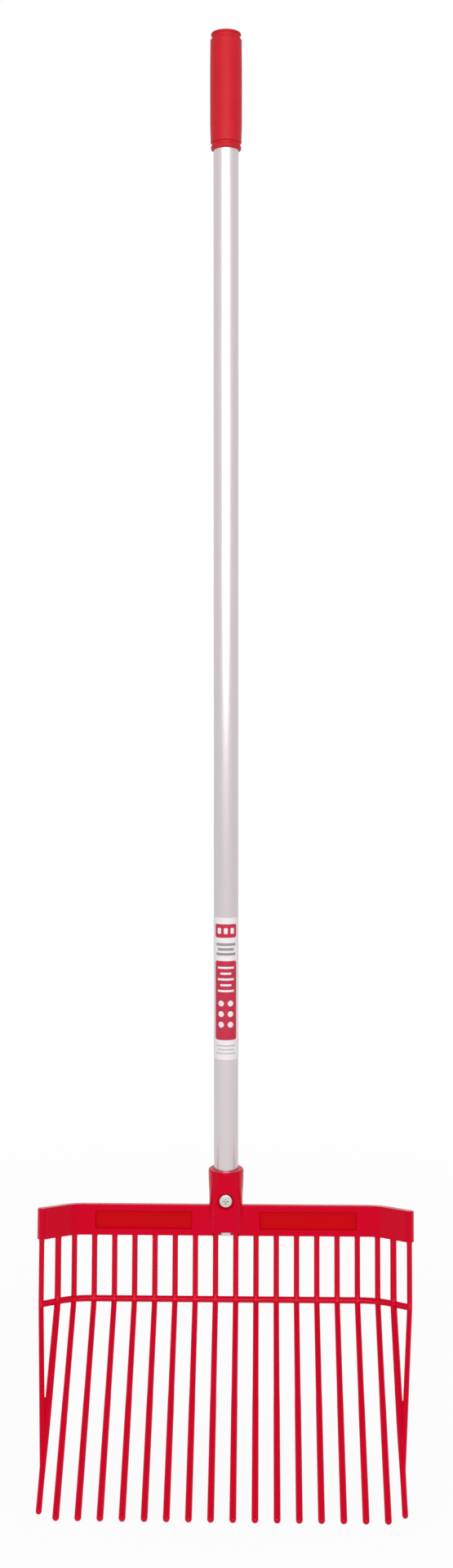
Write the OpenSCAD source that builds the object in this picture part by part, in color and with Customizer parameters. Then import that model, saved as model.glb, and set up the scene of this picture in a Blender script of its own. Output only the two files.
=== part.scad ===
// Bedding fork: a moulded basket head bolted to a straight aluminium tube, with a slip-on grip.
// Heights are counted up from the tube's lower end, and the finished part is moved so that the
// middle of the grip is at the origin. +Z runs up the handle and -Y is the load side.

/* [Handle tube] */
// Outside diameter of the tube
tube_d = 25; // [22:0.5:32]
// Wall of the tube
tube_wall = 1.5; // [1:0.1:3]
// Length of the tube
tube_len = 1200; // [800:10:1500]

/* [Grip] */
// Length of the grip over all
grip_len = 113; // [100:1:160]
// Closed end above the tube
grip_end = 8; // [4:0.5:15]
// Wall of the grip at its straight belly
grip_wall = 3.25; // [2.5:0.05:5]
// Length of the straight belly
belly_len = 40; // [20:1:60]
// Length of the taper below the belly
foot_len = 22; // [10:1:30]
// How much the body thins towards its upper end
top_taper = 0.25; // [0:0.05:1]
// How much the body thins towards its foot
foot_taper = 0.45; // [0:0.05:1]
// Wall of the bead at the closed end
bead_wall = 2.35; // [2:0.05:4]
// Height of the bead
bead_len = 2; // [2:0.5:8]
// Wall left under the two grooves
groove_wall = 1.4; // [1:0.1:2]
// Width of the two grooves
groove_len = 3; // [2:0.5:6]
// Wall of the lip at the open end
lip_wall = 2.5; // [2:0.05:4]
// Height of the lip
lip_len = 5; // [3:0.5:8]
// Edge rounding on the bead and the lip
grip_edge = 0.9; // [0.3:0.1:1]
// Gap between the tube and the grip
grip_fit = 0.05; // [0.02:0.01:0.2]

/* [Socket] */
// Height of the socket above the tube's lower end
socket_h = 68; // [62:0.2:90]
// Wall at the two sides
side_wall = 4.65; // [3:0.05:8]
// Wall in front of the tube
front_wall = 5.5; // [5:0.1:8]
// Wall behind the tube
back_wall = 4.65; // [3:0.05:8]
// Width of the flat front face
front_flat = 24.6; // [20:0.2:28]
// Wall of the round rim
rim_wall = 5.75; // [4:0.05:8]
// Height of the round rim
rim_h = 5; // [3:0.5:8]
// Rounding of the rim's upper edge
rim_edge = 2; // [0.5:0.1:3]
// Height of the blend between the flats and the rim
rim_blend = 13; // [6:1:14]
// Height of the arch in the front wall's lower edge
arch_h = 5.5; // [4:0.1:8]
// Rise of the arch
arch_rise = 1.2; // [0.5:0.1:2]
// Corner left at each side of the arch
arch_corner = 3.65; // [2.5:0.05:5]
// Gap between the tube and the socket's bore
socket_fit = 0.1; // [0.05:0.01:0.3]

/* [Bolt] */
// Diameter of the bolt
bolt_d = 6; // [5:1:8]
// Length under the head
bolt_len = 40; // [35:1:60]
// Height of the bolt above the tube's lower end
bolt_h = 37.9; // [30:0.1:40]
// Diameter of the head
head_d = 13.3; // [11:0.1:15]
// Height of the head
head_h = 2.5; // [2:0.1:4]
// Straight edge of the head, below its dome
head_edge = 0.6; // [0.4:0.1:1]
// Span of the cross recess
drive_span = 6; // [4:0.2:7]
// Width of a slot of the cross recess
drive_slot = 1.3; // [0.8:0.1:2]
// Depth of the cross recess
drive_depth = 1.6; // [1:0.1:2]
// Diameter of the counterbore in the socket
counterbore_d = 17.8; // [16:0.1:20]
// Depth of the counterbore
counterbore_depth = 4.6; // [3:0.1:4.8]
// Gap round the bolt in the socket and the tube
bolt_fit = 0.2; // [0.1:0.05:0.5]
// Chamfer at the bolt's end
bolt_chamfer = 0.6; // [0.3:0.1:1]

/* [Nut and washer] */
// Diameter of the washer
washer_d = 12; // [11:0.5:18]
// Thickness of the washer
washer_t = 1.6; // [1:0.1:2.5]
// Width of the nut across its flats
nut_flats = 10; // [9.5:0.5:13]
// Height of the nut's six-sided part
nut_hex_h = 4.2; // [3:0.1:6]
// Height of the nut's round collar
nut_collar_h = 1.8; // [1.5:0.1:3]
// Wall of the collar
nut_collar_wall = 0.8; // [0.6:0.1:1]
// Lip that holds the ring in the collar
nut_lip = 0.4; // [0.3:0.1:0.6]
// Gap between the bolt and what is screwed on it
thread_fit = 0.05; // [0.02:0.01:0.1]

/* [Label] */
// Height of the label's lower edge above the tube's lower end
label_start = 185.3; // [100:0.1:400]
// Length of the label along the tube
label_len = 147.2; // [80:0.2:200]
// How far the label goes round the tube, in degrees
label_sweep = 210; // [120:5:340]
// Thickness of the label
label_t = 0.15; // [0.1:0.05:0.4]
// Film of glue under the label
label_gap = 0.05; // [0.02:0.01:0.1]

/* [Cross bar] */
// Angle between the head and the handle
lean = 9; // [0:0.5:15]
// Height of the bar's lower edge above the tube's lower end
head_rise = 1; // [0:0.1:2]
// How far the tines' line lies in front of the tube, at the bar's lower edge
tine_offset = 0.5; // [0.3:0.1:2]
// Height of the bar
bar_h = 31.3; // [26:0.1:36]
// Thickness of the bar
bar_t = 9.5; // [8:0.1:12]
// How far the bar's face stands in front of the tines
bar_lap = 0.45; // [0:0.05:1]
// Rounding of the bar's upper edges
bar_edge = 1.5; // [0.5:0.1:3]
// Angle of the bent ends
side_angle = 43.5; // [30:0.5:55]
// How far the middle of the round end lies past the last tine
end_past = 0.1; // [0:0.05:2]
// How far the end post stands in front of the bar's face
post_lap = 0.4; // [0.1:0.1:1]
// Height of the front recesses
recess_h = 17.6; // [14:0.2:22]
// Depth of the front recesses
recess_depth = 1.8; // [0.8:0.1:2.5]
// From the socket to a recess
recess_in = 18; // [8:0.5:30]
// From a recess to the corner of the bar
recess_out = 22.2; // [8:0.1:30]
// Skin between a recess and the pockets behind it
bar_skin = 3.7; // [2.5:0.1:4]
// Ribs between the pockets in the bar's back
rib_t = 3; // [2:0.1:5]
// Rim above and below the pockets
pocket_rim = 3.5; // [2.5:0.1:5]

/* [Tines] */
// Number of floor tines
floor_tines = 16; // [12:2:20]
// Distance between neighbouring tines
tine_pitch = 20.9; // [18:0.1:26]
// Diameter of a tine at the bar
tine_d = 5.5; // [4.5:0.1:6]
// Diameter of a tine at its tip
tip_d = 6.2; // [5:0.1:7]
// From the bar's lower edge to the corner of the tines
tie_drop = 65; // [50:1:80]
// Angle of the tines' corner
scoop_angle = 38.7; // [20:0.5:50]
// From the corner to the middle of the round tip
floor_len = 220; // [190:1:280]
// From the corner to the middle of the round tip, on the inner side tines
side_len = 209; // [190:1:280]
// From the corner of the tines to the tie bar's flats, which the tines end on
tie_half = 2.6; // [2:0.1:3]
// From the corner of the tines to the tie bar's back edge
tie_back = 3.25; // [3:0.05:4]
// How far the tie bar's flats reach past a tine
tie_edge = 0.15; // [0.1:0.05:0.4]
// From the corner to the place where an outer side tine joins its neighbour
side_join = 170; // [150:1:188]
// From the corner to the upper edge of the web between the side tines
web_start = 98; // [80:1:120]
// Thickness of the web
web_t = 2.4; // [1.5:0.1:3]

/* [Hidden] */
$fn = 96;
// A cut runs this far past the face that it opens
past = 1;

grip_r = tube_d / 2 + grip_wall;
grip_foot = tube_len + grip_end - grip_len;
body_foot = grip_foot + lip_len + groove_len;
body_top = tube_len + grip_end - bead_len - groove_len;
belly_foot = body_foot + foot_len;
grip_middle = belly_foot + belly_len / 2;

socket_bore_r = tube_d / 2 + socket_fit;
socket_side = tube_d / 2 + side_wall;
socket_front = tube_d / 2 + front_wall;
socket_back = tube_d / 2 + back_wall;
socket_corner_r = norm([front_flat / 2, socket_front]);
rim_r = tube_d / 2 + rim_wall;
rim_foot = socket_h - rim_h;
flat_top = rim_foot - rim_blend;
arch_half = socket_side - arch_corner;
arch_r = (arch_half * arch_half + arch_rise * arch_rise) / (2 * arch_rise);

bolt_seat = socket_front - counterbore_depth;
head_dome = head_h - head_edge;
head_dome_r = (head_d * head_d / 4 + head_dome * head_dome) / (2 * head_dome);
nut_seat = -socket_back - washer_t;
nut_h = nut_hex_h + nut_collar_h;
thread_r = bolt_d / 2 + thread_fit;
collar_r = nut_flats / 2 - nut_lip;
ring_r = collar_r - nut_collar_wall;

tine_line = -(tube_d / 2 + tine_offset);
bar_front = tine_d / 2 + bar_lap;
bar_back = bar_t - bar_front;
corner_x = (floor_tines - 1) / 2 * tine_pitch;
bar_end = 2 * tine_pitch + end_past;
post_r = bar_front + post_lap;
recess_start = socket_side + recess_in;
recess_len = corner_x - recess_out - recess_start;
pocket_depth = bar_t - recess_depth - bar_skin;
// The first pocket lies past the first tine that is clear of the socket
first_pocket = ceil(socket_side / tine_pitch + 0.5);
last_pocket = floor_tines / 2 - 1;

// Corner points of the side tines, and the way from the outer one to where the two meet
inner_corner = [corner_x + tine_pitch * cos(side_angle), -tine_pitch * sin(side_angle), -tie_drop];
outer_corner = [corner_x + 2 * tine_pitch * cos(side_angle), -2 * tine_pitch * sin(side_angle), -tie_drop];
floor_way = [0, -sin(scoop_angle), -cos(scoop_angle)];
// Slope of the side tines' lower runs across the tie bar's ends
side_scoop = atan(tan(scoop_angle) * cos(side_angle));
join_way = inner_corner + side_join * floor_way - outer_corner;
join_len = norm(join_way);
join_turn = atan2(join_way.x, -join_way.y);
join_angle = acos(-join_way.z / join_len);
// The web lies in the plane of the two side tines: one axis along the inner tine, one across
side_step = outer_corner - inner_corner;
side_along = side_step * floor_way;
side_across = side_step - side_along * floor_way;
side_gap = norm(side_across);
across_way = side_across / side_gap;
web_normal = cross(floor_way, across_way);
side_taper = (tip_d - tine_d) / 2 / side_len;
web_gap = side_gap * (side_join - web_start) / (side_join - side_along);

abs_red = [0.80, 0.02, 0.14];
grip_red = [0.82, 0.13, 0.18];
satin_aluminium = [0.80, 0.78, 0.79];
zinc = [0.82, 0.82, 0.78];
nylon = [0.92, 0.92, 0.88];
label_white = [0.95, 0.94, 0.94];

function tine_name(i) = str("floor_tine_", i < 10 ? "0" : "", i);
function tine_x(i) = (i - (floor_tines + 1) / 2) * tine_pitch;

// Moves what is built on the tube's lower end so that the grip's middle is the origin
module on_handle() {
    translate([0, 0, -grip_middle]) children();
}

// The head's own frame: z runs up the bar's face, and the tines start at z = 0
module in_head() {
    translate([0, tine_line, head_rise]) rotate([-lean, 0, 0]) children();
}

// The frame of the bar's right end: x runs along the end, from the corner outwards
module along_end() {
    translate([corner_x, 0, 0]) rotate([0, 0, -side_angle]) children();
}

// The bolt's frame: z runs forwards along the bolt, from the tube's axis
module on_bolt() {
    translate([0, 0, bolt_h]) rotate([90, 0, 0]) children();
}

// Extrudes an outline drawn in y and z along x
module along_x(length) {
    rotate([90, 0, 90]) linear_extrude(length) children();
}

// Right half of a ring's outline, with its outer corners rounded
module ring_outline(r, foot, top, edge) {
    translate([0, foot]) square([r - edge, top - foot]);
    translate([0, foot + edge]) square([r, top - foot - 2 * edge]);
    translate([r - edge, foot + edge]) circle(edge);
    translate([r - edge, top - edge]) circle(edge);
}

module grip_body_outline() {
    foot_r = grip_r - foot_taper;
    top_r = grip_r - top_taper;
    polygon([
        [0, body_foot],
        [foot_r - grip_edge, body_foot],
        [foot_r, body_foot + grip_edge],
        [grip_r, belly_foot],
        [grip_r, belly_foot + belly_len],
        [top_r, body_top - grip_edge],
        [top_r - grip_edge, body_top],
        [0, body_top]
    ]);
}

module handle_grip() {
    lip_r = tube_d / 2 + lip_wall;
    bead_r = tube_d / 2 + bead_wall;
    groove_r = tube_d / 2 + groove_wall;
    grip_top = tube_len + grip_end;
    color(grip_red) on_handle() rotate_extrude() difference() {
        union() {
            ring_outline(lip_r, grip_foot, grip_foot + lip_len, grip_edge);
            ring_outline(bead_r, grip_top - bead_len, grip_top, grip_edge);
            grip_body_outline();
            translate([0, grip_foot + grip_edge]) square([groove_r, grip_len - 2 * grip_edge]);
        }
        translate([0, grip_foot - past]) square([tube_d / 2 + grip_fit, grip_len - grip_end + past]);
    }
}

module bolt_hole() {
    on_bolt() cylinder(r = bolt_d / 2 + bolt_fit, h = 4 * socket_front, center = true);
}

module handle_tube() {
    color(satin_aluminium) on_handle() difference() {
        cylinder(d = tube_d, h = tube_len);
        translate([0, 0, -past]) cylinder(d = tube_d - 2 * tube_wall, h = tube_len + 2 * past);
        bolt_hole();
    }
}

module handle_label() {
    color(label_white) on_handle() rotate([0, 0, -90 - label_sweep / 2]) rotate_extrude(angle = label_sweep)
        translate([tube_d / 2 + label_gap, label_start]) square([label_t, label_len]);
}

// A stretch of the socket's square lower part, with cut-off corners
module socket_block(foot, top) {
    translate([0, 0, foot]) linear_extrude(top - foot) intersection() {
        circle(socket_corner_r);
        translate([-socket_side, -socket_front]) square([2 * socket_side, socket_front + socket_back]);
    }
}

// The socket's outside, without its holes
module socket_form() {
    slice = 0.5;
    socket_block(0, flat_top);
    hull() {
        socket_block(flat_top - slice, flat_top, $fn = 32);
        translate([0, 0, rim_foot]) cylinder(r = rim_r, h = slice, $fn = 64);
    }
    translate([0, 0, rim_foot]) cylinder(r = rim_r, h = rim_h - rim_edge);
    rotate_extrude() {
        translate([0, rim_foot]) square([rim_r - rim_edge, rim_h]);
        translate([rim_r - rim_edge, socket_h - rim_edge]) intersection() {
            circle(rim_edge);
            square(2 * rim_edge);
        }
    }
}

// Opening under the front wall, with an arched top
module socket_arch() {
    intersection() {
        translate([0, 0, arch_h - arch_r]) rotate([90, 0, 0]) cylinder(r = arch_r, h = 2 * socket_front);
        translate([-arch_half, -2 * socket_front, -past]) cube([2 * arch_half, 2 * socket_front, arch_h + 2 * past]);
    }
}

module socket_shell() {
    difference() {
        socket_form();
        translate([0, 0, -past]) cylinder(r = socket_bore_r, h = socket_h + 2 * past);
        socket_arch();
        bolt_hole();
        on_bolt() translate([0, 0, bolt_seat]) cylinder(d = counterbore_d, h = socket_front);
    }
}

module head_socket() {
    color(abs_red) on_handle() socket_shell();
}

module socket_bolt() {
    color(zinc) on_handle() on_bolt() {
        difference() {
            translate([0, 0, bolt_seat]) intersection() {
                cylinder(d = head_d, h = head_h);
                translate([0, 0, head_h - head_dome_r]) sphere(head_dome_r);
            }
            translate([0, 0, bolt_seat + head_h]) {
                cube([drive_span, drive_slot, 2 * drive_depth], center = true);
                cube([drive_slot, drive_span, 2 * drive_depth], center = true);
            }
        }
        translate([0, 0, bolt_seat - bolt_len + bolt_chamfer]) cylinder(d = bolt_d, h = bolt_len - bolt_chamfer);
        translate([0, 0, bolt_seat - bolt_len])
            cylinder(d1 = bolt_d - 2 * bolt_chamfer, d2 = bolt_d, h = bolt_chamfer);
    }
}

module bolt_washer() {
    color(zinc) on_handle() on_bolt() translate([0, 0, nut_seat]) difference() {
        cylinder(d = washer_d, h = washer_t);
        translate([0, 0, -past]) cylinder(r = bolt_d / 2 + bolt_fit, h = washer_t + 2 * past);
    }
}

module lock_nut() {
    ring_h = nut_collar_h - nut_lip;
    color(zinc) on_handle() on_bolt() translate([0, 0, nut_seat - nut_h]) difference() {
        union() {
            translate([0, 0, nut_collar_h]) cylinder(r = nut_flats / 2 / cos(30), h = nut_hex_h, $fn = 6);
            cylinder(r = collar_r, h = nut_collar_h);
        }
        translate([0, 0, -past]) cylinder(r = thread_r, h = nut_h + 2 * past);
        translate([0, 0, nut_lip]) cylinder(r = ring_r, h = ring_h);
    }
}

module lock_nut_ring() {
    color(nylon) on_handle() on_bolt() translate([0, 0, nut_seat - nut_h + nut_lip]) difference() {
        cylinder(r = ring_r, h = nut_collar_h - nut_lip);
        translate([0, 0, -past]) cylinder(r = thread_r, h = nut_collar_h + 2 * past);
    }
}

// Section of the cross bar in y and z, rounded along its upper edges
module bar_section() {
    translate([-bar_front, 0]) square([bar_t, bar_h - bar_edge]);
    translate([bar_edge - bar_front, 0]) square([bar_t - 2 * bar_edge, bar_h]);
    for (y = [bar_edge - bar_front, bar_back - bar_edge]) translate([y, bar_h - bar_edge]) circle(bar_edge);
}

// Round end of the bar: half of its section turned about the middle of its thickness
module bar_round_end() {
    middle = bar_back - bar_t / 2;
    translate([bar_end, middle, 0]) rotate([0, 0, -90]) rotate_extrude(angle = 180) intersection() {
        translate([-middle, 0]) bar_section();
        square([bar_t, bar_h]);
    }
}

module bar_post() {
    translate([2 * tine_pitch, 0, 0]) {
        cylinder(r = post_r, h = bar_h - bar_edge);
        translate([0, 0, bar_h - bar_edge]) cylinder(r1 = post_r, r2 = post_r - bar_edge, h = bar_edge);
    }
}

// What lies past the mitre at the right corner; the mitre halves the angle between the middle and the end
module past_mitre(size) {
    rotate([0, 0, -side_angle / 2]) translate([0, -size, -size]) cube(2 * size);
}

// Turned right end of the bar, from the mitre to the round end
module bar_end_form() {
    along_end() difference() {
        union() {
            translate([-bar_t, 0, 0]) along_x(bar_end + bar_t) bar_section();
            bar_round_end();
            bar_post();
        }
        mirror([1, 0, 0]) past_mitre(2 * bar_h);
    }
}

module bar_recess() {
    translate([recess_start, -bar_front - past, (bar_h - recess_h) / 2])
        cube([recess_len, recess_depth + past, recess_h]);
}

module bar_pockets() {
    for (i = [first_pocket:last_pocket])
        translate([(i - 0.5) * tine_pitch + rib_t / 2, bar_back - pocket_depth, pocket_rim])
            cube([tine_pitch - rib_t, pocket_depth + past, bar_h - 2 * pocket_rim]);
}

module right_cross_bar() {
    color(abs_red) on_handle() difference() {
        in_head() difference() {
            along_x(corner_x + bar_t) bar_section();
            translate([corner_x, 0, 0]) past_mitre(2 * bar_h);
            bar_recess();
            bar_pockets();
        }
        socket_block(-past, flat_top);
    }
}

module left_cross_bar() {
    mirror([1, 0, 0]) right_cross_bar();
}

module right_bar_end() {
    color(abs_red) on_handle() in_head() bar_end_form();
}

module left_bar_end() {
    mirror([1, 0, 0]) right_bar_end();
}

// Section of the tie bar in y and z; angle is the slope of the lower runs that end on its lower flat
module tie_section(angle) {
    half = tine_d / 2 + tie_edge;
    down = [-sin(angle), -cos(angle)];
    along = [-cos(angle), sin(angle)];
    polygon([
        [-half, tie_half],
        [half, tie_half],
        tie_back * [cos(angle / 2), -sin(angle / 2)],
        tie_half * down - half * along,
        tie_half * down + half * along
    ]);
}

// Right end of the tie bar, run on past the corner
module tie_side() {
    reach = 2 * tie_back;
    translate([0, 0, -tie_drop]) along_end() translate([-reach, 0, 0])
        along_x(reach + 2 * tine_pitch + tine_d / 2 + tie_edge) tie_section(side_scoop);
}

module tie_bar() {
    reach = corner_x + 2 * tie_back;
    color(abs_red) on_handle() in_head() translate([0, 0, -tie_drop]) difference() {
        translate([-reach, 0, 0]) along_x(2 * reach) tie_section(scoop_angle);
        for (side = [0, 1]) mirror([side, 0, 0]) translate([corner_x, 0, 0]) past_mitre(4 * tie_back);
    }
}

module right_tie_end() {
    color(abs_red) on_handle() in_head() difference() {
        tie_side();
        translate([0, 0, -tie_drop]) along_end() mirror([1, 0, 0]) past_mitre(4 * tie_back);
    }
}

module left_tie_end() {
    mirror([1, 0, 0]) right_tie_end();
}

// A tine's upper run, from the tie bar to the cross bar; root is what goes up past the bar's edge
module tine_upper(root = 0) {
    translate([0, 0, tie_half - tie_drop]) cylinder(d = tine_d, h = tie_drop - tie_half + root);
}

// The frame of a tine's lower run: z runs back up the tine, from the tip to the corner
module down_tine(angle, length) {
    translate([0, 0, -tie_drop]) rotate([-angle, 0, 0]) translate([0, 0, -length]) children();
}

// A tine's lower run, from its round tip to a stop short of the corner
module tine_lower(length, stop) {
    down_tine(scoop_angle, length) {
        cylinder(d1 = tip_d, d2 = tine_d, h = length - stop);
        sphere(d = tip_d);
    }
}

// The socket's lower end with its arch, which the tines below it reach up to
module socket_foot() {
    difference() {
        socket_block(-past, 4 * arch_h);
        socket_arch();
    }
}

// A floor tine above and below the tie bar
module floor_tine(i) {
    x = tine_x(i);
    under_socket = abs(x) < socket_side;
    at_corner = i == 1 || i == floor_tines;
    color(abs_red) on_handle() {
        difference() {
            in_head() translate([x, 0, 0]) tine_upper(under_socket ? 2 * arch_h : 0);
            if (under_socket) socket_foot();
        }
        in_head() difference() {
            translate([x, 0, 0]) tine_lower(floor_len, tie_half);
            if (at_corner) mirror([x < 0 ? 1 : 0, 0, 0]) tie_side();
        }
    }
}

module right_inner_tine() {
    spot = [inner_corner.x, inner_corner.y, 0];
    color(abs_red) on_handle() in_head() {
        translate(spot) tine_upper();
        difference() {
            translate(spot) tine_lower(side_len, 0);
            tie_side();
        }
    }
}

module left_inner_tine() {
    mirror([1, 0, 0]) right_inner_tine();
}

// The plane of the right side tines: x runs down the inner one and y across to the outer one
module in_side_plane() {
    multmatrix([
        [floor_way.x, across_way.x, web_normal.x, inner_corner.x],
        [floor_way.y, across_way.y, web_normal.y, inner_corner.y],
        [floor_way.z, across_way.z, web_normal.z, inner_corner.z],
        [0, 0, 0, 1]
    ]) children();
}

// Everything on the inner side of the plane that touches the inner side tine along its outer line
module inner_side() {
    reach = 2 * floor_len;
    in_side_plane() linear_extrude(4 * tine_d, center = true) polygon([
        [-reach, tine_d / 2 - reach * side_taper],
        [reach, tine_d / 2 + reach * side_taper],
        [reach, -reach],
        [-reach, -reach]
    ]);
}

module outer_run() {
    translate([outer_corner.x, outer_corner.y, 0]) rotate([0, 0, join_turn])
        down_tine(join_angle, join_len) cylinder(d = tine_d, h = join_len);
}

module right_outer_tine() {
    spot = [outer_corner.x, outer_corner.y, 0];
    color(abs_red) on_handle() in_head() {
        translate(spot) tine_upper();
        difference() {
            outer_run();
            inner_side();
            tie_side();
        }
    }
}

module left_outer_tine() {
    mirror([1, 0, 0]) right_outer_tine();
}

// Thin web in the crotch of the two right side tines
module right_side_web() {
    color(abs_red) on_handle() in_head() difference() {
        in_side_plane() linear_extrude(web_t, center = true)
            polygon([[web_start, 0], [side_join, 0], [web_start, web_gap]]);
        inner_side();
        outer_run();
    }
}

module left_side_web() {
    mirror([1, 0, 0]) right_side_web();
}

handle_tube();
handle_grip();
handle_label();
head_socket();
left_cross_bar();
right_cross_bar();
left_bar_end();
right_bar_end();
tie_bar();
left_tie_end();
right_tie_end();
left_outer_tine();
left_inner_tine();
left_side_web();
right_outer_tine();
right_inner_tine();
right_side_web();
socket_bolt();
bolt_washer();
lock_nut();
lock_nut_ring();
for (i = [1:floor_tines]) floor_tine(i);
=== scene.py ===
"""Looks of a bedding fork: a glossy moulded basket head, a satin aluminium tube and a slip-on grip."""
import math

import bmesh
import bpy
from mathutils import Matrix, Vector


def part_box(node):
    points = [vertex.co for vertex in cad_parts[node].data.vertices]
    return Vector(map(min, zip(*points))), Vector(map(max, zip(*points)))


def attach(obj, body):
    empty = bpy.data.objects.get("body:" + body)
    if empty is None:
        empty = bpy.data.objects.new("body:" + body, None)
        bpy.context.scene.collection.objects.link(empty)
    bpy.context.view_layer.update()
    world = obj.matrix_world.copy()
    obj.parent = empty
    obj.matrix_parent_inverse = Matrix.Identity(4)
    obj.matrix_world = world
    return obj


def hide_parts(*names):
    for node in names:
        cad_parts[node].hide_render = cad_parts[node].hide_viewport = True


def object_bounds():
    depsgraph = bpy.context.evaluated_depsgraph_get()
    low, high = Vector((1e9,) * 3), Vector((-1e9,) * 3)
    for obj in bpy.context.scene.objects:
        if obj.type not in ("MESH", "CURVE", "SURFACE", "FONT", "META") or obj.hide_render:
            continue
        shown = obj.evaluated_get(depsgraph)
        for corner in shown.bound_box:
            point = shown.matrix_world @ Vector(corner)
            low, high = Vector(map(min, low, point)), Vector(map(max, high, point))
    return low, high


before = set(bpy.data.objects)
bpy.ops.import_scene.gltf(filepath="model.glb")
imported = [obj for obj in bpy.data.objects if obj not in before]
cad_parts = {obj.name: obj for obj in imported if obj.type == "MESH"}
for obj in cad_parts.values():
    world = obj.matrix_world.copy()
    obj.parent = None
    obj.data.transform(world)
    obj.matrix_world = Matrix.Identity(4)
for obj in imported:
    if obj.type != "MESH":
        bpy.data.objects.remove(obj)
CAD_BOX = [list(corner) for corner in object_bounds()]

# Sizes are written in millimetres, and heights count up from the tube's lower end
MM = 0.001
TUBE_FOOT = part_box("handle_tube")[0].z
TUBE_R = 12.5
TUBE_WALL = 1.5
TUBE_LEN = 1200

GRIP_LEN = 111.8
GRIP_END = 8
GRIP_R = 15.75
GRIP_FIT = 0.05

SOCKET_H = 68
SOCKET_SIDE = 17.15
SOCKET_FRONT = 18
SOCKET_BACK = 17.15
SOCKET_FLAT = 24.6
SOCKET_FOOT = 1.2
SOCKET_BORE_R = 12.6
RIM_R = 18.25
RIM_H = 4
RIM_BLEND = 36
RIM_EDGE = 2
ARCH_H = 5.5
ARCH_RISE = 1.2
ARCH_HALF = 13.5

BOLT_H = 37.9
BOLT_R = 3
BOLT_PLAY = 0.2
BOLT_LEN = 40
BOLT_SEAT = 13.4
BOLT_HEAD_R = 6.8
BOLT_HEAD_H = 3.1
COUNTERBORE_R = 9
NUT_SEAT = -18.75
NUT_FLATS = 10
NUT_HEX_H = 4.2
NUT_COLLAR_H = 1.8
WASHER_R = 6
WASHER_T = 1.6

LABEL_START = 185.3
LABEL_LEN = 147.2
LABEL_SWEEP = 210
LABEL_T = 0.15
LABEL_GAP = 0.05

LEAN = math.radians(9)
HEAD_RISE = 1
TINE_LINE = -13
BAR_H = 31.3
BAR_FRONT = 3.2
BAR_BACK = 6.3
BAR_BEND_R = 24
BAR_END = 40.4
SIDE_ANGLE = math.radians(43.5)
FLOOR_TINES = 16
TINE_PITCH = 20.9
TINE_R = 2.87
TIP_R = 3.3
TINE_BEND_R = 28
TINE_STEP = 0.17
TINE_STEP_AT = 0.6
TINE_STEP_HALF = 0.03
ROOT_FLARE = 0.3
FLOOR_ROOT = 8
SIDE_ROOT = 2
INNER_R = 3.2
INNER_TIP_R = 2.85
INNER_STEP = -0.95
INNER_STEP_AT = 0.8
INNER_STEP_HALF = 0.15
OUTER_R = 2.7
TIE_DROP = 65
TIE_R = 3.3
TIE_BEND_R = 45
TIE_AHEAD = 1.4
SCOOP_ANGLE = math.radians(38.7)
FLOOR_LEN = 219.55
SIDE_LEN = 208.8
SIDE_JOIN = 170
WEB_START = 96.5
WEB_T = 2.4
WEB_SAG = 3
RECESS_START = 35.15
RECESS_OUT = 22.2
RECESS_H = 17.6
RECESS_DEPTH = 1.8
RECESS_CORNER = 0.9
POCKET_RIM = 3.5
POCKET_FLOOR = 2.3
POCKET_CORNER = 1.5
PANEL_DRAFT = 0.4
PANEL_LIP = 0.3
RIB_T = 3
EJECTOR_X = 27.3
EJECTOR_R = 4
EJECTOR_DEPTH = 0.12

CORNER_X = (FLOOR_TINES - 1) / 2 * TINE_PITCH
SIDE_WAY = Vector((math.cos(SIDE_ANGLE), -math.sin(SIDE_ANGLE), 0))
FLOOR_WAY = Vector((0, -math.sin(SCOOP_ANGLE), -math.cos(SCOOP_ANGLE)))

# The handle's frame has its zero at the tube's lower end; the head's frame leans forwards from it
ON_HANDLE = Matrix.Translation((0, 0, TUBE_FOOT)) @ Matrix.Scale(MM, 4)
IN_HEAD = (
    ON_HANDLE
    @ Matrix.Translation((0, TINE_LINE, HEAD_RISE))
    @ Matrix.Rotation(-LEAN, 4, "X")
)
# Along the bolt, z runs forwards from the tube's axis
ON_BOLT = ON_HANDLE @ Matrix.Translation((0, 0, BOLT_H)) @ Matrix.Rotation(math.radians(90), 4, "X")


def linear(code):
    """An sRGB hex colour as linear values."""
    channels = [int(code[i:i + 2], 16) / 255 for i in (1, 3, 5)]
    return [c / 12.92 if c <= 0.04045 else ((c + 0.055) / 1.055) ** 2.4 for c in channels] + [1]


def add(tree, kind, values=None, **settings):
    """Adds a node: settings are its properties, values its inputs, each a value or another node's output."""
    node = tree.nodes.new(kind)
    for name, value in settings.items():
        setattr(node, name, value)
    for name, value in (values or {}).items():
        if isinstance(value, bpy.types.NodeSocket):
            tree.links.new(value, node.inputs[name])
        else:
            node.inputs[name].default_value = value
    return node


def start_material(name):
    """A new material; returns it, its empty tree and the coordinates that its patterns follow."""
    material = bpy.data.materials.new(name)
    material.use_nodes = True
    tree = material.node_tree
    tree.nodes.clear()
    place = add(tree, "ShaderNodeTexCoord").outputs["Object"]
    return material, tree, place


def finish_material(tree, values):
    """Adds the shader, with its values and patterns, and the output."""
    shader = add(tree, "ShaderNodeBsdfPrincipled", values)
    add(tree, "ShaderNodeOutputMaterial", {"Surface": shader.outputs["BSDF"]})


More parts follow.
